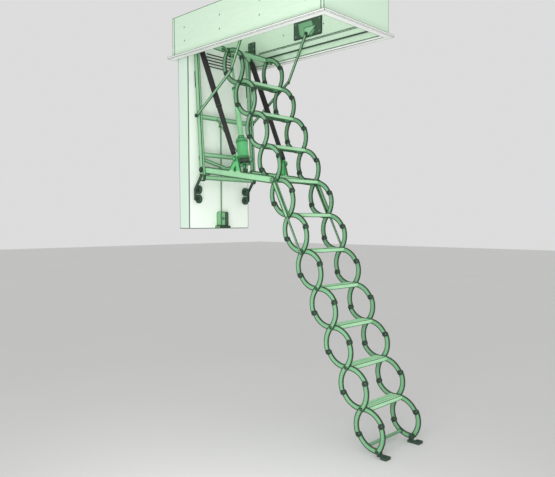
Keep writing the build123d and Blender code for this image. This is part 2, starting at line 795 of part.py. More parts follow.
save("guide_channels", *both_sides(guide_channel))
save("guide_rods", *both_sides(guide_rod))

# Feet, which stay level under the foot links
foot_top_z = foot_pivot.Z - foot_below_pivot
foot_bottom_z = foot_top_z - foot_height


def foot(side):
    cheek_out = inner_face - foot_cheek_gap
    cheek_in = cheek_out - foot_cheek
    heel = foot_pivot.X - foot_heel
    height = (foot_top_z + foot_bottom_z) / 2
    sole = Pos(heel + foot_length / 2, height) * Rectangle(foot_length, foot_height)
    solid = profile(sole, side * (cheek_out - foot_pad), side * cheek_out)
    toe_length = foot_length - foot_heel - foot_toe_from
    toe = Pos(foot_pivot.X + foot_toe_from + toe_length / 2, height) * Rectangle(toe_length, foot_height)
    solid += profile(toe, side * cheek_out, side * cap_layer[1])
    root = Pos(foot_pivot.X, foot_top_z - foot_height / 2) * Rectangle(2 * foot_heel, foot_height)
    cheek = make_hull((Sketch([disc(foot_pivot, link_width / 2)]) + root).edges())
    solid += profile(cheek, side * cheek_in, side * cheek_out)
    solid += round_bar(foot_pivot, pin_r, side * cheek_out, side * cap_layer[0])
    return solid + round_bar(foot_pivot, cap_r, side * cap_layer[0], side * cap_layer[1])


save("feet", *both_sides(foot))

print("fold range", round(fold_range, 3), "half link", round(half_link, 2), "pitch", round(pitch, 2))
print("arm hinge", arm_hinge, "arm", round(arm_length, 2), round(arm_angle, 3), round(arm_angle_folded, 3))
print("strut", round((lug_pin - strut_top).length, 2))
print("actuator", round((motor_pin - actuator_top).length, 2))
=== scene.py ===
# %% [markdown]
# # An electric attic stair, hanging open from its hatch
# The solid model already holds every link, arm and board at its real size. This script gives each
# of them its finish, adds the small hardware that a workshop would fit last (rivet heads, bolts,
# seal lips, caps and covers), and sets a camera and soft light. All lengths are in metres, in the
# frame of the solid model: +X runs from the hinge end of the hatch to the feet, +Z is up.

# %% Load the solid model
import json
import math

import bmesh
import bpy
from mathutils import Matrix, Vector


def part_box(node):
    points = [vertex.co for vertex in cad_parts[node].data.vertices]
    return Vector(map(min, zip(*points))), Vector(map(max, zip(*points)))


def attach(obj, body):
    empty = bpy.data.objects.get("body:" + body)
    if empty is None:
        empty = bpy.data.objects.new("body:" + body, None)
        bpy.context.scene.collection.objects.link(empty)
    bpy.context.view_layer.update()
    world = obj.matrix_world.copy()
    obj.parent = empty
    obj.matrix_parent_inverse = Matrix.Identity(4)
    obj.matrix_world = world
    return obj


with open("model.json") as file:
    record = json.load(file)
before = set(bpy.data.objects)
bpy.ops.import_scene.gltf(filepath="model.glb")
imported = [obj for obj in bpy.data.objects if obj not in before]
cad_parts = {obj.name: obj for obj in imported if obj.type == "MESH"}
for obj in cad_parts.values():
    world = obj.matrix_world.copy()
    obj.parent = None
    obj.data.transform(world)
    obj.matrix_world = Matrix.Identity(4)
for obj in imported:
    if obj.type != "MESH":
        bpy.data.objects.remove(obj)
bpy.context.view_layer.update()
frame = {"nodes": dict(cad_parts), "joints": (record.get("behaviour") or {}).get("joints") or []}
nodes = frame["nodes"]
pivots = {joint["name"]: Vector(joint["pos_m"]) for joint in frame["joints"] if "pos_m" in joint}

# %% [markdown]
# A shader is a sum written with nodes. To read it as a sum, one small class wraps a node's output
# and lets Python's own operators add the Math nodes. Numbers are allowed on either side. A second
# class makes the nodes of one tree, so that finishes and the surround are built alike.

# %% Shader maths as Python expressions


class Wire:
    """One output of a shader node. Arithmetic on it adds Math nodes to the same tree."""

    def __init__(self, maker, socket):
        self.maker = maker
        self.socket = socket

    def math(self, operation, *values):
        return self.maker.node("ShaderNodeMath", {"operation": operation}, dict(enumerate(values)))

    def __add__(self, other):
        return self.math("ADD", self, other)

    def __radd__(self, other):
        return self.math("ADD", other, self)

    def __sub__(self, other):
        return self.math("SUBTRACT", self, other)

    def __rsub__(self, other):
        return self.math("SUBTRACT", other, self)

    def __mul__(self, other):
        return self.math("MULTIPLY", self, other)

    def __rmul__(self, other):
        return self.math("MULTIPLY", other, self)

    def __mod__(self, other):
        return self.math("FLOORED_MODULO", self, other)

    def __rmod__(self, other):
        return self.math("FLOORED_MODULO", other, self)

    def __abs__(self):
        return self.math("ABSOLUTE", self)

    def either(self, other):
        """The greater of two masks."""
        return self.math("MAXIMUM", self, other)

    def above(self, edge, soft):
        """0 below the edge, 1 above it, with a soft step between."""
        settings = {"interpolation_type": "SMOOTHSTEP"}
        limits = {0: self, 1: edge - soft, 2: edge + soft}
        return self.maker.node("ShaderNodeMapRange", settings, limits)

    def patches(self, soft=0.3, middle=0.5):
        """A noise, whose values lie about its middle, as soft patches of 0 and 1."""
        return self.above(middle, soft)


class Maker:
    """Makes the nodes of one tree, and sets or links their sockets."""

    def __init__(self, tree):
        self.tree = tree

    def feed(self, socket, value):
        if isinstance(value, Wire):
            self.tree.links.new(value.socket, socket)
        else:
            socket.default_value = value

    def node(self, kind, settings=None, sockets=None, output=0):
        made = self.tree.nodes.new(kind)
        for setting, value in (settings or {}).items():
            setattr(made, setting, value)
        for key, value in (sockets or {}).items():
            self.feed(made.inputs[key], value)
        return Wire(self, made.outputs[output])


print("shader maths ready")

# %% [markdown]
# A finish is one Principled shader and the questions that its colour asks of the surface: where a
# point is, which way it faces, and how near it is to an edge. Position comes from the object's own
# frame, so a finish stays on its piece when the stair folds.

# %% Finishes
BEVEL_SAMPLES = 8
EDGE_STEP, EDGE_SOFT = 0.016, 0.013    # how far the bevelled normal has to lean to be an edge
LINE_SOFT = 0.0008                     # metres over which a drawn line fades out
FACING, FACING_SOFT = 0.6, 0.2         # share of the normal that lies along an axis


class Finish(Maker):
    """A material built round one Principled shader."""

    def __init__(self, name, roughness=0.5, metallic=0.0):
        self.material = bpy.data.materials.new(name)
        self.material.use_nodes = True
        super().__init__(self.material.node_tree)
        self.shader = self.tree.nodes["Principled BSDF"]
        self.set("Roughness", roughness)
        self.set("Metallic", metallic)

    def set(self, name, value):
        self.feed(self.shader.inputs[name], value)

    def place(self):
        """Position in the solid model's frame, which is each object's own frame at rest."""
        return self.node("ShaderNodeTexCoord", output="Object")

    def noise(self, scale, detail=2.0, stretch=(1, 1, 1)):
        settings = {"operation": "MULTIPLY"}
        spot = self.node("ShaderNodeVectorMath", settings, {0: self.place(), 1: stretch})
        sockets = {"Vector": spot, "Scale": scale, "Detail": detail}
        return self.node("ShaderNodeTexNoise", None, sockets)

    def part(self, vector, axis):
        return self.node("ShaderNodeSeparateXYZ", None, {0: vector}, axis)

    def along(self, axis):
        """Position along one axis of the model."""
        return self.part(self.place(), axis)

    def facing(self, axis):
        """1 on faces that look along one axis of the model, 0 on the others."""
        normal = self.node("ShaderNodeTexCoord", output="Normal")
        return abs(self.part(normal, axis)).above(FACING, FACING_SOFT)

    def mix(self, share, first, second):
        sockets = {0: share, 6: first, 7: second}
        return self.node("ShaderNodeMix", {"data_type": "RGBA"}, sockets, 2)

    def edges(self, width):
        """1 along sharp edges and corners, 0 on open faces."""
        rounded = self.node("ShaderNodeBevel", {"samples": BEVEL_SAMPLES}, {"Radius": width})
        plain = self.node("ShaderNodeNewGeometry", output="Normal")
        settings = {"operation": "DOT_PRODUCT"}
        alike = self.node("ShaderNodeVectorMath", settings, {0: rounded, 1: plain}, 1)
        return (1 - alike).above(EDGE_STEP, EDGE_SOFT)

    def box_edges(self, low, high, width):
        """1 within this width of a box's edges, where two of its faces are near at once."""
        near = 0.0
        for axis in range(3):
            middle, half = (low[axis] + high[axis]) / 2, (high[axis] - low[axis]) / 2
            away = abs(self.along(axis) - middle)
            near = away.above(half - width, LINE_SOFT) + near
        return near.above(1.5, 0.2)

    def bump(self, height, depth, strength=1.0):
        sockets = {"Height": height, "Distance": depth, "Strength": strength}
        self.set("Normal", self.node("ShaderNodeBump", None, sockets))


def shade(code, share=1.0):
    """A screen colour such as 7FBF86 as a shader's linear one, darker or lighter by a share."""
    channels = [int(code[i : i + 2], 16) / 255 for i in (0, 2, 4)]
    linear = [c / 12.92 if c <= 0.04045 else ((c + 0.055) / 1.055) ** 2.4 for c in channels]
    return (*(share * c for c in linear), 1.0)


print("finishes and colours ready")

# %% [markdown]
# Every metal piece of the stair is powder coated. Real powder coat has three things that a flat
# colour lacks: a fine orange peel, a faint cloudiness, and a darker line along the cut edges, where
# the coat thins and dirt gathers. The links are cut from plate, so their rims are darker than
# their faces too. One function makes the whole family, and the colours alone differ.

# %% Powder coat
EDGE_LINE = 0.017         # width of the dark line along a cut edge
PEEL_SCALE, PEEL_DEPTH = 900, 0.00025
CLOUD_SCALE = 7
GRIT_SCALE, GRIT_DETAIL = 60, 3.0
GRIT_SPREAD = 0.16        # by how much grit changes the roughness
BAR_REACH = 0.192         # bars between the chains end here and have no cut rim


class PowderCoat(Finish):
    """Orange peel, a faint cloudiness and grit, the same on every coated piece."""

    def cloudy(self, dim, bright):
        return self.mix(self.noise(CLOUD_SCALE).patches(), dim, bright)

    def gritty(self, lowest):
        grit = self.noise(GRIT_SCALE, GRIT_DETAIL)
        self.set("Roughness", lowest + GRIT_SPREAD * grit)
        return grit

    def peel(self, strength=0.5):
        self.bump(self.noise(PEEL_SCALE, 1.0), PEEL_DEPTH, strength)


def powder_coat(name, colour, edge_colour, rim_colour=None, roughness=0.5, edge_width=EDGE_LINE):
    finish = PowderCoat(name, roughness)
    base = finish.cloudy(shade(colour, 0.86), shade(colour))
    if rim_colour:
        flat = finish.facing(1)
        between_chains = 1 - abs(finish.along(1)).above(BAR_REACH, 0.001)
        base = finish.mix(flat.either(between_chains), shade(rim_colour), base)
    finish.set("Base Color", finish.mix(finish.edges(edge_width), base, shade(edge_colour)))
    finish.gritty(roughness - GRIT_SPREAD / 2)
    finish.peel()
    return finish.material


link_green = powder_coat("link green coat", "70A57A", "17301F", rim_colour="284F2F")
frame_green = powder_coat("frame green coat", "91C79A", "1E3F27", edge_width=0.015)
tube_green = powder_coat("tube pale green coat", "8FCF9A", "2A5836", edge_width=0.010)
motor_green = powder_coat("motor green enamel", "5CBD76", "1D5A2C", roughness=0.35)
bracket_green = powder_coat("bracket dark coat", "35563D", "141F17")
cover_green = powder_coat("cover green coat", "6FA87B", "1A3322", edge_width=0.012)
lock_green = powder_coat("lock green coat", "76B27F", "24452B")
strut_black = powder_coat("strut black enamel", "151415", "0B0C0B", roughness=0.62)
print("powder coats made")

# %% [markdown]
# Two pieces carry two colours each. The drive arms are pale with bright green lugs, and the strut
# rods are black down to bright green eyes. A real shop would mask one colour off before spraying
# the next. Here one sum on the position draws the border: height over the slope of the arm, and
# distance from the pin of the lug. That keeps each piece whole, with one material.

# %% Two-colour coats
ARM_ANGLE = -8.601        # degrees, of the drive arms at rest
ARM_HINGE = pivots["stair_lift"]
LUG_ABOVE = 0.0285        # over the arm's middle line
LUG_PIN = Vector((0.6447, 0, -0.9932))
GREEN_END = 0.033         # the rods are green within this distance of the pin
BRIGHT_GREEN = "58B66F"


def arm_coat():
    """The drive arms are pale, and the lugs that stand up from them are bright green."""
    finish = PowderCoat("arm green coat")
    slope = math.radians(ARM_ANGLE)
    right = (finish.along(0) - ARM_HINGE.x) * -math.sin(slope)
    above = (finish.along(2) - ARM_HINGE.z) * math.cos(slope)
    base = finish.cloudy(shade("8BC193"), shade("98CDA0"))
    base = finish.mix((right + above).above(LUG_ABOVE, 0.001), base, shade(BRIGHT_GREEN))
    finish.set("Base Color", finish.mix(finish.edges(0.02), base, shade("1E4127")))
    finish.gritty(0.42)
    finish.peel()
    return finish.material


def strut_rod_coat():
    """The rods are black down to their lower eyes, which are bright green."""
    finish = PowderCoat("strut rod enamel")
    right, above = finish.along(0) - LUG_PIN.x, finish.along(2) - LUG_PIN.z
    black_part = (right * right + above * above).above(GREEN_END * GREEN_END, 0.0001)
    grit = finish.gritty(0.5)
    green = finish.mix(grit.patches(), shade("4BA863"), shade(BRIGHT_GREEN))
    black = finish.mix(grit.patches(), shade("151415"), shade("1D1C1D"))
    finish.set("Base Color", finish.mix(black_part, green, black))
    finish.peel(0.4)
    return finish.material


arm_green = arm_coat()
rod_enamel = strut_rod_coat()
print("two-colour coats made")

# %% [markdown]
# A tread is an extruded plank with three pale bands and two dark grooves between them. All
# treads hang at the same steps along X and Z, so the remainders of X and Z by those steps are the
# same on each of them, and one sum places the dark lines on all ten.

# %% Tread finish
STEP_X = pivots["crossing_09"].x - pivots["crossing_10"].x
STEP_Z = pivots["crossing_10"].z - pivots["crossing_09"].z
GROOVE, GROOVE_HALF = 0.015, 0.0028
CORNER, CORNER_HALF = 0.0415, 0.0022   # the dark line where the top turns into the front
LOWER_EDGE = -0.0085      # below this, the front's lower edge is dark


def tread_coat():
    finish = PowderCoat("tread green coat")
    first = pivots["crossing_10"] - Vector((STEP_X, 0, STEP_Z)) / 2
    from_middle = abs((finish.along(0) - first.x) % STEP_X - STEP_X / 2)
    height = (finish.along(2) - first.z) % STEP_Z - STEP_Z / 2
    groove = 1 - abs(from_middle - GROOVE).above(GROOVE_HALF, LINE_SOFT)
    corner = 1 - abs(from_middle - CORNER).above(CORNER_HALF, LINE_SOFT)
    lower_edge = 1 - height.above(LOWER_EDGE, 0.001)
    line = groove.either(corner).either(lower_edge)
    base = finish.cloudy(shade("9CCFA2"), shade("AAD8AF"))
    finish.set("Base Color", finish.mix(line * 0.9, base, shade("2C5636")))
    finish.gritty(0.42)
    finish.bump(1 - groove, 0.0012, 0.6)
    return finish.material


tread_green = tread_coat()
print("tread step", round(STEP_X, 4))

# %% [markdown]
# The casing, the trim and the door are painted boards. Paint on board shows a faint long grain
# under it and soft, slightly grey edges. The grain is one noise stretched along the board.

# %% Painted boards
GRAIN_SCALE, GRAIN_DETAIL = 9, 4.0
ALONG_X, ALONG_Z = (1, 14, 14), (14, 14, 1)    # grain is a noise stretched along one axis


def painted_board(name, colour, edge_colour, edge_width=0.012, roughness=0.55):
    finish = Finish(name, roughness)
    fibre = finish.noise(GRAIN_SCALE, GRAIN_DETAIL, ALONG_X)
    base = finish.mix(fibre.patches(0.25), shade(colour, 0.94), shade(colour))
    finish.set("Base Color", finish.mix(finish.edges(edge_width), base, shade(edge_colour)))
    finish.set("Roughness", roughness - 0.06 + 0.12 * fibre)
    finish.bump(fibre, 0.0004, 0.4)
    return finish.material


casing_paint = painted_board("casing pale green paint", "CEE7CF", "4F7556")
trim_paint = painted_board("trim white paint", "F4F6F3", "6E7771", edge_width=0.009)
print("board paints made")

# %% [markdown]
# The door is a panel of insulation between two skins. Its faces are near white, and its edges are
# painted greener and darker as painted shade, with a thin dark seam where two faces meet. The
# seam is drawn from the panel's own box, as a panel this large has few edges and all are straight.

# %% Door skin
DOOR_LINE = 0.0065        # width of the seam


def door_skin():
    finish = Finish("door pale skin")
    fibre = finish.noise(GRAIN_SCALE, GRAIN_DETAIL, ALONG_Z)
    # Painted shade: faces that look along X stay near white, and all other faces are painted
    # greener and darker.
    skin = finish.mix(finish.facing(0), shade("CDE2D3"), shade("E9F0E8"))
    skin = finish.mix(fibre.patches(0.25) * 0.25, skin, shade("D9EBDC"))
    lines = finish.box_edges(*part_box("door_panel"), DOOR_LINE)
    finish.set("Base Color", finish.mix(lines, skin, shade("4F5F54")))
    finish.bump(fibre, 0.0003, 0.4)
    return finish.material


door_paint = door_skin()
print("door skin made")

# %% [markdown]
# Rubber and small steel parts close the list: the rollers and feet are soft and matt, the
# rivets and screws are dark, slightly glossy steel. In each, one noise changes colour and roughness
# together, because on a real part the worn spots are both paler and duller.

# %% Rubber and small steel


def rubber(name, colour):
    finish = Finish(name, 0.75)
    grit = finish.noise(220, 3.0)
    worn = shade(colour, 1.8)
    finish.set("Base Color", finish.mix(grit.patches(0.2, 0.55), shade(colour), worn))
    finish.set("Roughness", 0.65 + 0.2 * grit)
    finish.bump(grit, 0.0004, 0.6)
    return finish.material


def dark_steel(name, colour, metallic):
    finish = Finish(name, 0.35, metallic)
    brushed = finish.noise(300, 2.0, (1, 6, 1))
    bright = shade(colour, 1.5)
    finish.set("Base Color", finish.mix(brushed.patches(), shade(colour), bright))
    finish.set("Roughness", 0.28 + 0.2 * brushed)
    finish.bump(brushed, 0.0001, 0.4)
    return finish.material


tyre_rubber = rubber("roller dark rubber", "22402E")
foot_rubber = rubber("foot dark rubber", "22382A")
seal_rubber = rubber("seal dark rubber", "2A4031")
rivet_steel = dark_steel("rivet dark steel", "1B3023", 0.2)
bolt_steel = dark_steel("bolt steel", "5E7464", 0.6)
print(len(bpy.data.materials), "materials")

# %% [markdown]
# Each solid node keeps its mesh and gets its finish by name. A table of name beginnings is
# enough, because the nodes are named after what they are.

# %% Dress the solid nodes
finish_by_start = {
    "casing": casing_paint,
    "ceiling_trim": trim_paint,
    "door_panel": door_paint,
    "door_lock": lock_green,
    "door_pivots": bracket_green,
    "drive_arms": arm_green,
    "side_brackets": bracket_green,
    "tread": tread_green,
    "links": link_green,
    "top_links": link_green,
    "foot_links": link_green,
    "gear_motor": motor_green,
    "screw_tube": tube_green,
    "strut": strut_black,
    "strut_rods": rod_enamel,
    "roller_arms": bracket_green,
    "rollers": tyre_rubber,
    "feet": foot_rubber,
    "": frame_green,
}


def dress(node, material):
    node.data.materials.clear()
    node.data.materials.append(material)


for node_name, node in nodes.items():
    start = max((s for s in finish_by_start if node_name.startswith(s)), key=len)
    dress(node, finish_by_start[start])
print("dressed", len(nodes), "nodes")

# %% [markdown]
# Small hardware is turned on a lathe, so one helper spins an outline round an axis. Another turns
# the mesh that many such pieces share into one object that rides on one body.

# %% Helpers for small hardware
ROUND = 24                # sides of a turned piece, unless it says otherwise
SHARP_FROM = math.radians(35)


def to_axis(axis):
    """Turns a point of the lathe, whose axis is Z, to another axis."""
    return Vector((0, 0, 1)).rotation_difference(Vector(axis)).to_matrix()


def skin_loops(mesh, rings):
    """Joins closed rings of corners one to the next, and closes both ends."""
    for low, high in zip(rings, rings[1:]):
        for i in range(len(low)):
            after = (i + 1) % len(low)
            mesh.faces.new((low[i], low[after], high[after], high[i]))
    mesh.faces.new(list(reversed(rings[0])))
    mesh.faces.new(rings[-1])


def turned(mesh, outline, centre, axis, sides=ROUND):
    """Spins (radius, height) points round an axis through the centre and closes both ends."""
    turn = to_axis(axis)
    rings = []
    for radius, height in outline:
        ring = []
        for step in range(sides):
            angle = 2 * math.pi * step / sides
            spot = Vector((radius * math.cos(angle), radius * math.sin(angle), height))
            ring.append(mesh.verts.new(turn @ spot + Vector(centre)))
        rings.append(ring)
    skin_loops(mesh, rings)


def finished(name, mesh, material, body):
    """Turns a bmesh into an object on a body, with its finish."""
    bmesh.ops.recalc_face_normals(mesh, faces=mesh.faces)
    data = bpy.data.meshes.new(name)
    mesh.to_mesh(data)
    mesh.free()
    data.materials.append(material)
    made = bpy.data.objects.new(name, data)
    bpy.context.scene.collection.objects.link(made)
    for face in data.polygons:
        face.use_smooth = True
    data.set_sharp_from_angle(angle=SHARP_FROM)
    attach(made, body)
    return made


print("turned pieces have", ROUND, "sides")

# %% [markdown]
# Flat pieces are cut from plate or bar. The next helper pulls an outline out along one axis and
# breaks its sharp edges with a narrow chamfer, as a workshop does with a file. A Bevel modifier
# could cut it too, but made with the outline it costs four rings of corners and no more. Another
# helper spins a closed outline into a ring that goes round a tube without filling it.

# %% Helpers for plates and rings
LAYOUTS = {"Y": lambda u, v, w: (u, w, v), "X": lambda u, v, w: (w, u, v)}


def slab(mesh, outline, near, far, axis="Y", chamfer=0.001):
    """Pulls (u, v) points out between two places on an axis; Y draws in X and Z, X in Y and Z."""
    layout = LAYOUTS[axis]
    middle = [sum(values) / len(outline) for values in zip(*outline)]
    way = 1 if far > near else -1
    cut = way * chamfer
    rings = []
    for inset, depth in ((chamfer, near), (0, near + cut), (0, far - cut), (chamfer, far)):
        ring = []
        for u, v in outline:
            du, dv = middle[0] - u, middle[1] - v
            share = inset / math.hypot(du, dv)
            ring.append(mesh.verts.new(layout(u + share * du, v + share * dv, depth)))
        rings.append(ring)
    skin_loops(mesh, rings)


def rounded(u0, v0, u1, v1, radius, steps=4):
    """A rectangle's outline with round corners."""
    points = []
    corners = ((u1, v1, 0), (u0, v1, 90), (u0, v0, 180), (u1, v0, 270))
    for u, v, start in corners:
        cu = u - math.copysign(radius, u - (u0 + u1) / 2)
        cv = v - math.copysign(radius, v - (v0 + v1) / 2)
        for i in range(steps + 1):
            angle = math.radians(start + 90 * i / steps)
            points.append((cu + radius * math.cos(angle), cv + radius * math.sin(angle)))
    return points


def collar(mesh, outline, centre, axis, sides=ROUND):
    """Spins a closed (radius, height) outline round an axis into a ring."""
    turn = to_axis(axis)
    rings = []
    for step in range(sides):
        angle = 2 * math.pi * step / sides
        spots = (Vector((r * math.cos(angle), r * math.sin(angle), h)) for r, h in outline)
        rings.append([mesh.verts.new(turn @ spot + Vector(centre)) for spot in spots])
    for step in range(sides):
        ring, after = rings[step], rings[(step + 1) % sides]
        for i in range(len(outline)):
            j = (i + 1) % len(outline)
            mesh.faces.new((ring[i], after[i], after[j], ring[j]))


def sleeve(inner, outer, low, high, lip=0.0012):
    """Outline of a ring that is a thin tube with broken edges."""
    lower = [(inner, low), (outer - lip, low), (outer, low + lip)]
    return lower + [(outer, high - lip), (outer - lip, high), (inner, high)]


print("plates along", ", ".join(LAYOUTS))

# %% [markdown]
# The chains turn on rivets, three to a link. The photograph shows a dark head as wide as the link
# at every joint between two links, so each joint gets a domed head on its outer face and one on
# its inner face. The rivets are fixed in the inner links and ride with them. Their places come
# from the joints of the model, so a change of the stair moves them too.

# %% Rivet heads on the chains
HEAD = [(0.0174, 0), (0.018, 0.0012), (0.0165, 0.0034)]
HEAD += [(0.0125, 0.0053), (0.007, 0.0064), (0.002, 0.0068)]
HEAD_SIDES = 20
LINK_INNER_FACE, LINK_OUTER_FACE = 0.194, 0.2163
TOP_LEVEL = 11
crossings = {level: pivots[f"crossing_{level:02d}"] for level in range(1, TOP_LEVEL)}
crossings[0] = pivots["foot_crossing"]
crossings[TOP_LEVEL] = pivots["top_inner_turn"]
one_down = crossings[0] - crossings[1]
to_side = pivots["foot_outer_pivot"] - (crossings[0] + crossings[1]) / 2


def rivet_heads(level):
    """Heads on the joints of one pair of inner links."""
    body = {0: "foot_inner", TOP_LEVEL: "top_inner"}.get(level, f"inner_{level:02d}")
    mesh = bmesh.new()
    reach = one_down / 2 + to_side
    spots = []
    if level > 0:
        spots.append(crossings[level] + reach)
    if level < TOP_LEVEL:
        spots.append(crossings[level] - reach)
    for spot in spots:
        for side in (1, -1):
            for face, out in ((LINK_OUTER_FACE, side), (LINK_INNER_FACE, -side)):
                turned(mesh, HEAD, (spot.x, side * face, spot.z), (0, out, 0), HEAD_SIDES)
    return finished(f"rivets_{level:02d}", mesh, rivet_steel, body)


rivets = [rivet_heads(level) for level in crossings]
print(len(rivets), "sets of rivet heads")

# %% [markdown]
# Inside the hatch, a soft lip runs along the lower edge of each seal, where the closed door rubs,
# and two fine beads along its upper edge. The real profile is pressed through a die, so here a
# section of five points is pulled along the board.

# %% Seal lips
SEAL_FACE = 0.325
SEAL_START, SEAL_END = 0.292, 1.538
# height, half width and how far it stands out: the lip, then two beads
SEAL_BARS = ((-0.0985, 0.006, 0.006), (-0.0525, 0.0022, 0.0025), (-0.0435, 0.0022, 0.0025))


def seal_lips():
    mesh = bmesh.new()
    for side in (1, -1):
        for height, half, proud in SEAL_BARS:
            face, peak = side * SEAL_FACE, side * (SEAL_FACE - proud)
            shoulder = side * (SEAL_FACE - proud * 0.7)
            section = [(face, height - half), (shoulder, height - half * 0.8), (peak, height)]
            section += [(shoulder, height + half * 0.8), (face, height + half)]
            slab(mesh, section, SEAL_START, SEAL_END, "X", 0.0008)
    return finished("seal_lips", mesh, seal_rubber, "hatch")


seal_lips()
print("seal lips from", SEAL_START, "to", SEAL_END)

# %% [markdown]
# The stays hang from dark plates on the long boards. Each plate carries a folded cover and a
# lighter triangular gusset behind the stay's pin, and four hexagon bolts hold it to the board.
# The plates of the frame's shaft have four bolts as well. A bolt head is a lathe shape with six
# sides, on a round washer, so the lathe helper makes both.

# %% Stay plates: covers, gussets and bolts
PLATE_FACE = 0.324
STAY_PIN = Vector((0.835, 0, 0.005))
SHAFT = Vector((0.200, 0, -0.040))
WASHER = [(0.0105, 0), (0.0105, 0.0014), (0.0095, 0.0018)]
BOLT = [(0.0075, 0.0018), (0.0075, 0.0055), (0.0062, 0.0068)]
HEXAGON = 6
GUSSET = [(0.800, 0.058), (0.806, -0.004), (0.820, -0.012)]
GUSSET += [(0.852, -0.012), (0.925, 0.050), (0.922, 0.058)]
COVER = [(0.735, 0.104), (0.752, 0.010), (0.782, -0.016)]
COVER += [(0.885, -0.016), (0.915, 0.020), (0.880, 0.104)]
STAY_BOLTS = [(STAY_PIN.x + dx, 0.05 + dz) for dx in (-0.122, 0.122) for dz in (-0.047, 0.047)]
SHAFT_BOLTS = [(SHAFT.x + dx, z) for dx in (-0.028, 0.028) for z in (0.005, 0.048)]


def on_plates(name, outline, thick, material):
    """The same flat piece on the inner faces of both side plates."""
    mesh = bmesh.new()
    for side in (1, -1):
        slab(mesh, outline, side * PLATE_FACE, side * (PLATE_FACE - thick), "Y")
    return finished(name, mesh, material, "hatch")


def plate_bolts():
    mesh = bmesh.new()
    for x, z in STAY_BOLTS + SHAFT_BOLTS:
        for side in (1, -1):
            turned(mesh, WASHER, (x, side * PLATE_FACE, z), (0, -side, 0))
            turned(mesh, BOLT, (x, side * PLATE_FACE, z), (0, -side, 0), HEXAGON)
    return finished("plate_bolts", mesh, bolt_steel, "hatch")


on_plates("stay_covers", COVER, 0.003, cover_green)
on_plates("stay_gussets", GUSSET, 0.005, frame_green)
plate_bolts()
print(len(STAY_BOLTS + SHAFT_BOLTS), "bolts on each long board")

# %% [markdown]
# The door's inner face carries a small stack of stiffening slats near its hinge. In the photograph
# they are a ladder of dark lines on the pale face. Lines in the door's finish would look flat from
# the side, so each is a thin bar with broken edges.

# %% Slats on the door
DOOR_FACE = 0.155
SLAT_HALF, SLAT_HALF_HIGH, SLAT_THICK = 0.135, 0.0035, 0.007
SLATS = (-0.108, -0.132, -0.156, -0.180, -0.204)


def door_slats():
    mesh = bmesh.new()
    for height in SLATS:
        low, high = height - SLAT_HALF_HIGH, height + SLAT_HALF_HIGH
        outline = rounded(-SLAT_HALF, low, SLAT_HALF, high, 0.003, 3)
        slab(mesh, outline, DOOR_FACE, DOOR_FACE + SLAT_THICK, "X")
    return finished("door_slats", mesh, bracket_green, "hatch")


door_slats()
print(len(SLATS), "slats")

# %% [markdown]
# The swing frame has soft parts where it meets other metal: a buffer strip on the rear of each
# stile, a shoe round its foot and a domed nut on each stay's lower pin. The arms' hinges end in
# dark caps too. Buffers and shoes lean with the stile, so their outlines are measured along it and
# out from it, and one small helper turns that into places.

# %% Buffers, shoes, nuts and caps on the frame
STILE_FOOT = Vector((0.270, 0, -1.120))
STILE_RUN = (STILE_FOOT - SHAFT).normalized()
STILE_REAR = Vector((STILE_RUN.z, 0, -STILE_RUN.x))
STILE_INNER, STILE_OUTER = 0.265, 0.287
STILE_HALF = 0.020
# height and how far the buffer stands out from the stile's rear
BUFFER = ((-0.270, 0), (-0.277, 0.010), (-0.340, 0.012), (-0.402, 0.010), (-0.409, 0))
SHOE_TOP, SHOE_THICK = -1.092, 0.003
DOME = [(0.0155, 0), (0.016, 0.003), (0.0145, 0.0075), (0.010, 0.0105), (0.004, 0.0118)]
STAY_FOOT = Vector((0.231, 0.304, -0.630))
ARM_CAP_FACE = 0.2874
ARM_CAP_WIDER = 1.45      # than the stays' nuts


def on_stile(height, out):
    """A point at this height, measured out from the stile's middle line to the rear."""
    spot = SHAFT + STILE_RUN * ((height - SHAFT.z) / STILE_RUN.z) + STILE_REAR * out
    return spot.x, spot.z


def stile_buffers():
    mesh = bmesh.new()
    outline = [on_stile(height, STILE_HALF + proud) for height, proud in BUFFER]
    for side in (1, -1):
        slab(mesh, outline, side * (STILE_INNER + 0.002), side * (STILE_OUTER - 0.002), "Y", 0.002)
    return finished("stile_buffers", mesh, tyre_rubber, "hatch")


def stile_shoes():
    mesh = bmesh.new()
    radius = STILE_HALF + SHOE_THICK
    outline = [on_stile(SHOE_TOP, -radius), on_stile(SHOE_TOP, radius)]
    turn = math.atan2(STILE_REAR.z, STILE_REAR.x)
    for i in range(9):
        angle = turn + math.pi * i / 8
        x, z = radius * math.cos(angle), radius * math.sin(angle)
        outline.append((STILE_FOOT.x + x, STILE_FOOT.z + z))
    for side in (1, -1):
        near, far = side * (STILE_INNER - SHOE_THICK), side * (STILE_OUTER - 0.0005)
        slab(mesh, outline, near, far, "Y", 0.0015)
    return finished("stile_shoes", mesh, foot_rubber, "hatch")


def stay_nuts():
    mesh = bmesh.new()
    for side in (1, -1):
        turned(mesh, DOME, (STAY_FOOT.x, side * STAY_FOOT.y, STAY_FOOT.z), (0, side, 0))
    return finished("stay_nuts", mesh, rivet_steel, "hatch")


def hinge_caps():
    mesh = bmesh.new()
    wide = [(ARM_CAP_WIDER * radius, height) for radius, height in DOME]
    for side in (1, -1):
        turned(mesh, wide, (ARM_HINGE.x, side * ARM_CAP_FACE, ARM_HINGE.z), (0, side, 0))
    return finished("hinge_caps", mesh, rivet_steel, "arms")


stile_buffers()
stile_shoes()
stay_nuts()
hinge_caps()
print("stile runs", [round(v, 3) for v in STILE_RUN])

# %% [markdown]
# A thin flat strap crosses the frame from its upper to its middle crossbar, on their front faces.
# It is a bar bent nowhere, so eight corners with broken edges are enough.

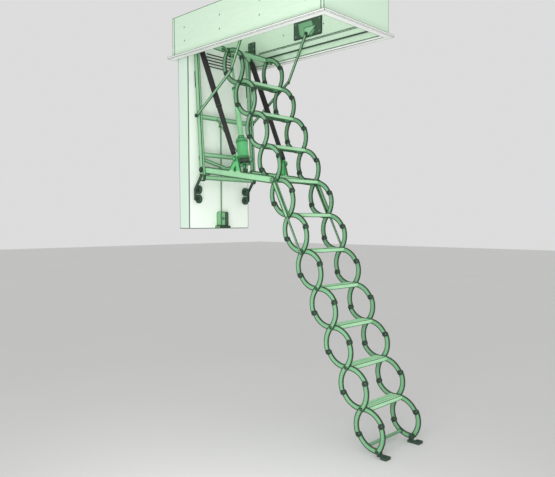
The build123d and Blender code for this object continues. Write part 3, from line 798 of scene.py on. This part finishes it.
# %% Strap across the frame
STRAP_TOP, STRAP_FOOT = Vector((0, -0.112, -0.638)), Vector((0, 0.138, -0.930))
STRAP_HALF, STRAP_THICK = 0.007, 0.003
CROSSBAR_FACE = 0.0102    # from the stiles' middle line to the crossbars' front


def frame_strap():
    run = (STRAP_FOOT - STRAP_TOP).normalized()
    square = Vector((0, -run.z, run.y)) * STRAP_HALF
    corners = [STRAP_TOP - square, STRAP_TOP + square, STRAP_FOOT + square, STRAP_FOOT - square]
    mesh = bmesh.new()
    rings = []
    for lift in (0.0, STRAP_THICK):
        ring = []
        for corner in corners:
            x = SHAFT.x + STILE_RUN.x * (corner.z - SHAFT.z) / STILE_RUN.z + CROSSBAR_FACE + lift
            ring.append(mesh.verts.new((x, corner.y, corner.z)))
        rings.append(ring)
    skin_loops(mesh, rings)
    bmesh.ops.bevel(mesh, geom=mesh.edges[:], offset=0.0007, segments=1, affect="EDGES")
    return finished("frame_strap", mesh, frame_green, "hatch")


frame_strap()
print("strap made")

# %% [markdown]
# The actuator is a motor that stands on its gearbox. Two raised bands run round the motor, a dark
# shoe covers the gearbox, and a nut ring closes the mouth of the wide screw tube. All are rings
# about the actuator's own line, from its upper pivot to the pin on the arms.

# %% Rings on the actuator
SCREW_TOP = pivots["actuator_turn"]
MOTOR_PIN = Vector((0.4635, 0, -1.0477))
SCREW_RUN = (MOTOR_PIN - SCREW_TOP).normalized()
# start from the pin, inner radius, outer radius, length and sides of each ring
BANDS = [(0.096, 0.0448, 0.0475, 0.014, 40), (0.222, 0.0448, 0.0475, 0.014, 40)]
BANDS += [(0.2552, 0.0218, 0.027, 0.022, 32), (0.655, 0.0218, 0.0255, 0.016, 32)]
GEARBOX_START = 0.0485
SHOE = [(0.0418, 0.002), (0.044, 0), (0.0462, 0.004)]
SHOE += [(0.0462, 0.036), (0.0450, 0.0405), (0.0418, 0.0405)]


def up_from_pin(distance):
    return MOTOR_PIN - SCREW_RUN * distance


def motor_bands():
    mesh = bmesh.new()
    for start, inner, outer, length, sides in BANDS:
        collar(mesh, sleeve(inner, outer, 0, length), up_from_pin(start), -SCREW_RUN, sides)
    return finished("motor_bands", mesh, motor_green, "actuator")


def gearbox_shoe():
    mesh = bmesh.new()
    collar(mesh, SHOE, up_from_pin(GEARBOX_START), -SCREW_RUN, 40)
    return finished("gearbox_shoe", mesh, bracket_green, "actuator")


motor_bands()
gearbox_shoe()
print("actuator runs", [round(v, 3) for v in SCREW_RUN])

# %% [markdown]
# The struts are black down to their lower eyes, which turn on bright green lugs. A cap covers
# each eye, and each tube has a wiper ring at its mouth. The caps ride with the rods and the
# rings with the tubes, so they part as the strut changes its length.

# %% Strut eye caps, wiper rings and lug cheeks
STRUT_TOP = pivots["strut_turn"]
STRUT_RUN = (LUG_PIN - STRUT_TOP).normalized()
STRUT_Y, EYE_FACE = 0.2695, 0.2777
TUBE_END = 0.527
EYE_CAP = [(0.021, 0), (0.0215, 0.002), (0.017, 0.005), (0.006, 0.0065)]
WIPER_IN, WIPER_OUT, WIPER_LONG = 0.0218, 0.0236, 0.012
LUG_INNER_FACE, CHEEK_FACE = 0.250, 0.2475
# along the arm from its hinge, and up square to it
CHEEK = ((0.322, 0.024), (0.352, 0.128), (0.366, 0.133), (0.380, 0.128), (0.404, 0.024))


def eye_caps():
    mesh = bmesh.new()
    for side in (1, -1):
        turned(mesh, EYE_CAP, (LUG_PIN.x, side * EYE_FACE, LUG_PIN.z), (0, side, 0), 28)
    return finished("eye_caps", mesh, motor_green, "strut_rod")


def wiper_rings():
    mesh = bmesh.new()
    ring = sleeve(WIPER_IN, WIPER_OUT, 0, WIPER_LONG)
    for side in (1, -1):
        middle = STRUT_TOP + Vector((0, side * STRUT_Y, 0))
        collar(mesh, ring, middle + STRUT_RUN * (TUBE_END - WIPER_LONG), STRUT_RUN, 32)
    return finished("wiper_rings", mesh, bracket_green, "strut_tube")


def lug_cheeks():
    """Bright plates on the inner faces of the arms' lugs."""
    mesh = bmesh.new()
    slope = math.radians(ARM_ANGLE)
    run = Vector((math.cos(slope), 0, math.sin(slope)))
    up = Vector((-run.z, 0, run.x))
    spots = [ARM_HINGE + run * along + up * high for along, high in CHEEK]
    outline = [(spot.x, spot.z) for spot in spots]
    for side in (1, -1):
        slab(mesh, outline, side * LUG_INNER_FACE, side * CHEEK_FACE, "Y", 0.0008)
    return finished("lug_cheeks", mesh, motor_green, "arms")


eye_caps()
wiper_rings()
lug_cheeks()
print("strut runs", [round(v, 3) for v in STRUT_RUN])

# %% [markdown]
# Each roller is a tyre on a hub, and spins on its arm. The hub shows on both faces as a dark disc
# with a raised rim. A ring that leaves the middle open is enough, because the pin fills it.

# %% Roller hubs
ROLLER_FACES = (0.265, 0.243)    # outer, inner
HUB_SIDES = 28
HUB = [(0.0205, 0), (0.0205, 0.0012), (0.0185, 0.0022), (0.0165, 0.0010), (0.012, 0.0010)]


def roller_hubs(which):
    mesh = bmesh.new()
    centre = pivots[f"rollers_{which}_spin"]
    for side in (1, -1):
        for face, out in zip(ROLLER_FACES, (side, -side)):
            collar(mesh, HUB, (centre.x, side * face, centre.z), (0, out, 0), HUB_SIDES)
    return finished(f"roller_hubs_{which}", mesh, rivet_steel, f"rollers_{which}")


roller_hubs("upper")
roller_hubs("lower")
print("hubs on the rollers")

# %% [markdown]
# The feet are moulded with ribs for grip. Four ribs lie across the top of each toe. A bump in the
# finish could stand for them, but they show in outline from the side, so each is a bar with
# sloping sides.

# %% Ribs on the feet
feet_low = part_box("feet")[0]
SOLE_TOP = feet_low.z + 0.016
TOE_START = pivots["feet_level"].x + 0.026
FIRST_RIB, RIB_STEP, RIBS = 0.005, 0.0105, 4
RIB = ((0, 0), (0.0012, 0.003), (0.0048, 0.003), (0.006, 0))
TOE_INNER, TOE_OUTER = 0.168, 0.2185


def foot_ribs():
    mesh = bmesh.new()
    for side in (1, -1):
        for i in range(RIBS):
            start = TOE_START + FIRST_RIB + i * RIB_STEP
            outline = [(start + x, SOLE_TOP + z) for x, z in RIB]
            slab(mesh, outline, side * TOE_INNER, side * TOE_OUTER, "Y", 0.0008)
    return finished("foot_ribs", mesh, foot_rubber, "feet")


foot_ribs()
print("sole top", round(SOLE_TOP, 4))

# %% [markdown]
# The lock's case is pale on the hinge side and dark on the other, where a cover plate wraps it.
# A dark plate lies on its foot, and a turned boss holds the latch. The covers are thin sheet with
# round corners, so all three are one kind of outline, pulled out by a few millimetres.

# %% Lock cover
lock_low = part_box("door_lock")[0]
CASE_FACE, FOOT_FACE = DOOR_FACE + 0.058, DOOR_FACE + 0.066
CASE_SIDE = 0.039
# start, lower edge, end and upper edge of each plate; heights are from the lock's lowest point
FRONT_PLATE = (0.003, 0.024, 0.0375, 0.132)
FOOT_PLATE = (-0.054, 0.002, 0.054, 0.020)
WRAP_PLATE = (0.160, 0.024, 0.210, 0.118)
BOSS = [(0.0135, 0), (0.0135, 0.003), (0.0115, 0.006), (0.0060, 0.006), (0.0050, 0.0035)]


def on_lock(plate, radius):
    """Outline of one plate, with round corners."""
    start, low, end, high = plate
    return rounded(start, lock_low.z + low, end, lock_low.z + high, radius)


def lock_cover():
    mesh = bmesh.new()
    slab(mesh, on_lock(FRONT_PLATE, 0.012), CASE_FACE, CASE_FACE + 0.004, "X")
    slab(mesh, on_lock(FOOT_PLATE, 0.003), FOOT_FACE, FOOT_FACE + 0.003, "X")
    slab(mesh, on_lock(WRAP_PLATE, 0.008), CASE_SIDE, CASE_SIDE + 0.0025, "Y")
    return finished("lock_cover", mesh, bracket_green, "hatch")


def lock_boss():
    mesh = bmesh.new()
    turned(mesh, BOSS, (CASE_FACE, -0.018, lock_low.z + 0.082), (1, 0, 0))
    return finished("lock_boss", mesh, bolt_steel, "hatch")


lock_cover()
lock_boss()
print("lock case at", [round(v, 3) for v in lock_low])

# %% [markdown]
# The stair stands on a plain pale floor, which keeps its shadow. A floor far wider than the view
# has no edge in it, and one soft noise keeps it from being a single flat colour.

# %% Floor
FLOOR = feet_low.z
FLOOR_HALF = 30.0


def stage_floor():
    mesh = bmesh.new()
    places = ((-1, -1), (1, -1), (1, 1), (-1, 1))
    mesh.faces.new([mesh.verts.new((x * FLOOR_HALF, y * FLOOR_HALF, FLOOR)) for x, y in places])
    data = bpy.data.meshes.new("floor")
    mesh.to_mesh(data)
    mesh.free()
    finish = Finish("pale floor", 0.9)
    cloud = finish.noise(0.7, 3.0)
    finish.set("Base Color", finish.mix(cloud, shade("CBCBCA"), shade("D0D0CF")))
    data.materials.append(finish.material)
    floor = bpy.data.objects.new("floor", data)
    bpy.context.scene.collection.objects.link(floor)


stage_floor()
print("floor at", round(FLOOR, 3))

# %% [markdown]
# Two very wide suns light the stair evenly, near and far, because a sun's light doesn't weaken with
# distance. The undersides of the trim and the treads would stay dark under them, so a softbox near
# the floor lights those. The lamps are kept low enough that no pale surface turns plain white.

# %% Lamps


def soft_sun(name, away, strength, width):
    """A very wide sun: it lights near and far alike, with a soft shadow."""
    lamp = bpy.data.lights.new(name, "SUN")
    lamp.energy = strength
    lamp.angle = math.radians(width)
    made = bpy.data.objects.new(name, lamp)
    made.rotation_euler = (-Vector(away)).to_track_quat("-Z", "Y").to_euler()
    bpy.context.scene.collection.objects.link(made)


def low_fill(place, target, size, power):
    """A wide softbox near the floor, which reaches the undersides of the trim and the treads."""
    lamp = bpy.data.lights.new("low fill", "AREA")
    lamp.size = size
    lamp.energy = power
    made = bpy.data.objects.new("low fill", lamp)
    made.location = place
    made.rotation_euler = (Vector(target) - Vector(place)).to_track_quat("-Z", "Y").to_euler()
    made.visible_camera = False
    bpy.context.scene.collection.objects.link(made)


soft_sun("key", away=(0.85, -0.42, 0.42), strength=0.60, width=70)
soft_sun("side", away=(0.45, -0.90, 0.10), strength=0.30, width=90)
low_fill(place=(2.7, -2.4, -1.9), target=(0.5, 0.0, -0.1), size=1.6, power=76)
print(len(bpy.data.lights), "lamps")

# %% [markdown]
# The surround lights the stair a little and is also what the camera sees behind it. Light Path
# tells the two apart: rays from the camera, and rays that a shiny or clear surface sends on, see
# one strength, and all other rays see the other.

# %% Surround
LIGHT_FROM_SURROUND, SEEN_SURROUND = 0.74, 0.72
world = bpy.data.worlds.new("pale surround")
bpy.context.scene.world = world
world.use_nodes = True
maker = Maker(world.node_tree)
kinds = ("Is Camera Ray", "Is Glossy Ray", "Is Transmission Ray")
rays = [maker.node("ShaderNodeLightPath", output=kind) for kind in kinds]
seen = rays[0].either(rays[1]).either(rays[2])
strengths = {"Value": seen, "To Min": LIGHT_FROM_SURROUND, "To Max": SEEN_SURROUND}
sky = world.node_tree.nodes["Background"]
maker.feed(sky.inputs["Color"], (1.0, 1.0, 1.0, 1.0))
maker.feed(sky.inputs["Strength"], maker.node("ShaderNodeMapRange", None, strengths))
print("surround seen at", SEEN_SURROUND)

# %% [markdown]
# The camera has the photograph's view. Its place, turn and focal length came from a fit to the
# chains' joints and the corners of the hatch. A small shift of the lens sets the height of the
# picture without tilting the camera, so upright lines keep their slant.

# %% Camera
FRAME_WIDTH = 555         # pixels
FOCAL_PIXELS = 603.1
SENSOR = 36.0
EYE = Vector((4.027, -3.321, -1.468))
YAW, PITCH = math.radians(46.02), math.radians(-4.16)
FRAME_SHIFT = 28          # pixels
VIEW_END = 200            # metres
level = math.cos(PITCH)
look = Vector((-math.cos(YAW) * level, math.sin(YAW) * level, math.sin(PITCH)))

lens = bpy.data.cameras.new("camera")
lens.sensor_width = SENSOR
lens.lens = FOCAL_PIXELS / FRAME_WIDTH * SENSOR
lens.shift_y = FRAME_SHIFT / FRAME_WIDTH
lens.clip_end = VIEW_END
camera = bpy.data.objects.new("camera", lens)
camera.location = EYE
camera.rotation_euler = look.to_track_quat("-Z", "Y").to_euler()
bpy.context.scene.collection.objects.link(camera)
bpy.context.scene.camera = camera
bpy.context.scene.view_settings.view_transform = "Standard"
print("lens", round(lens.lens, 1), "mm")
